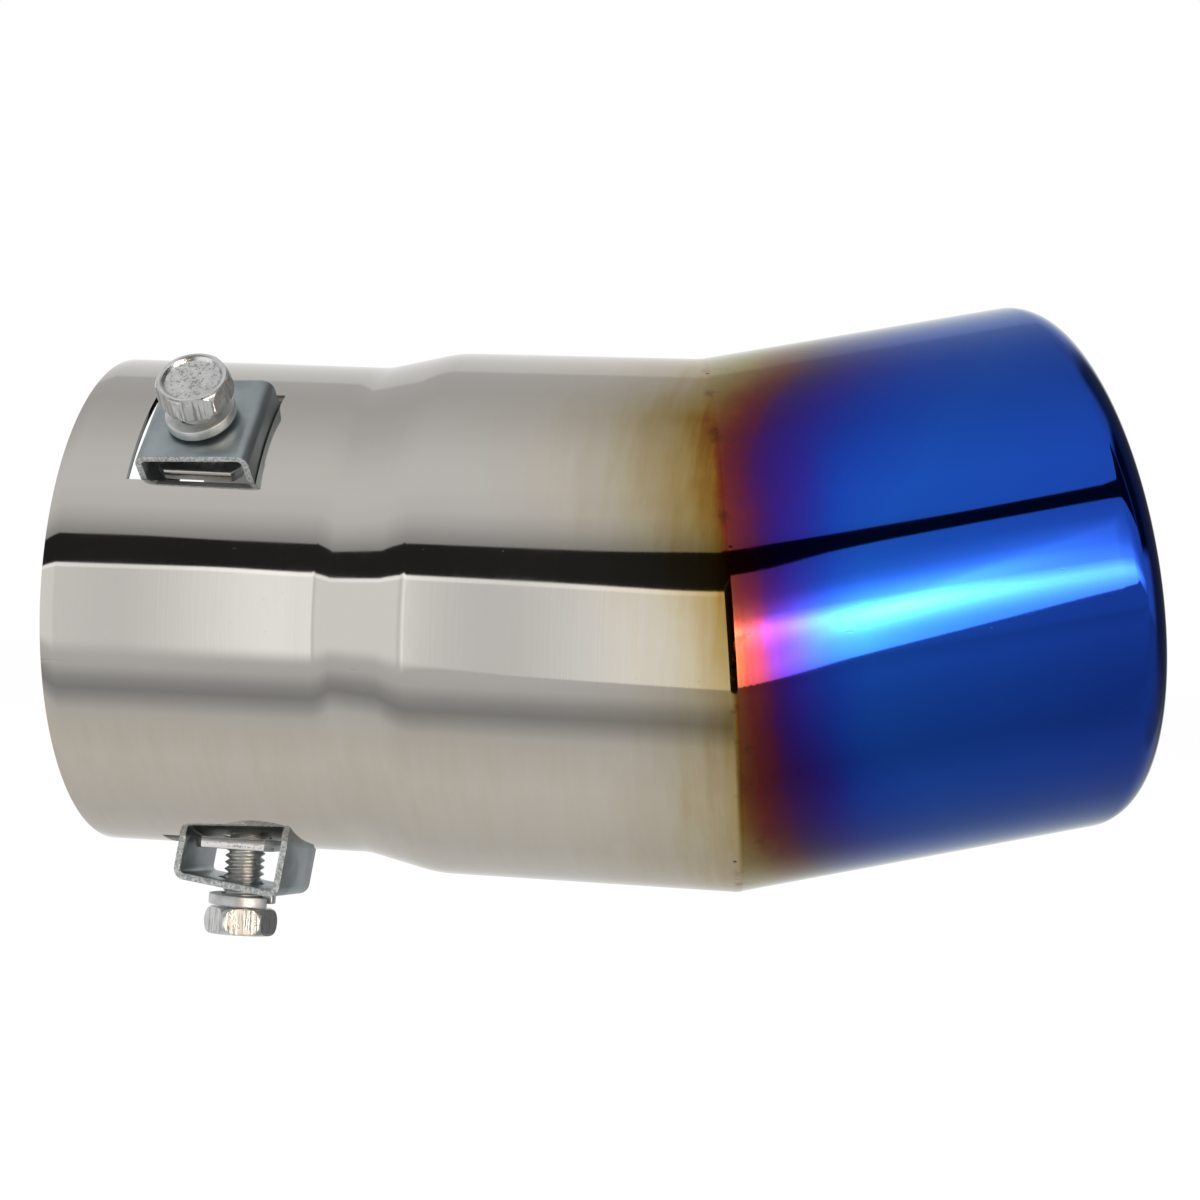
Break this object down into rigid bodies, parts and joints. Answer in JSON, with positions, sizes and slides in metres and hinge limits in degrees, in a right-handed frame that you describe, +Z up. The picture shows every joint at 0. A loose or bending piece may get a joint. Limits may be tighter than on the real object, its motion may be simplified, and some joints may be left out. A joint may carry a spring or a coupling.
{
  "type": "exhaust tip",
  "caption": "Angled exhaust tip: stepped inlet tube mitre-welded to a heat-tinted outlet tube with a rolled rim, and bolt clamps hooked in slots round the inlet.",
  "frame": {"origin": "centre of the inlet tube's open end", "axes": "+X along the inlet tube's axis towards the outlet, +Z up as in the picture, -Y towards the viewer"},
  "size_m": [0.1524, 0.0923, 0.0975],
  "materials": {
    "polished_steel": "polished stainless steel with fine brushing and a few scratches",
    "tinted_steel": "polished stainless steel, heat-tinted gold, purple and deep blue",
    "weld_steel": "dark narrow weld line",
    "plated_bracket": "dull bluish zinc plate",
    "plated_bolt": "bright zinc plate",
    "plated_washer": "bright zinc plate",
    "sheared_plate": "zinc plate with bright sheared edges"
  },
  "bodies": {
    "root": {"inlet_tube": "polished_steel", "outlet_tube": "tinted_steel", "mitre_weld": "weld_steel", "upper_bracket": "plated_bracket", "upper_bolt": "plated_bolt", "upper_lock_washer": "plated_washer", "upper_nut_plate": "sheared_plate", "lower_bracket": "plated_bracket", "lower_bolt": "plated_bolt", "lower_lock_washer": "plated_washer", "lower_nut_plate": "sheared_plate", "rear_bracket": "plated_bracket", "rear_bolt": "plated_bolt", "rear_lock_washer": "plated_washer", "rear_nut_plate": "sheared_plate"}
  },
  "joints": []
}
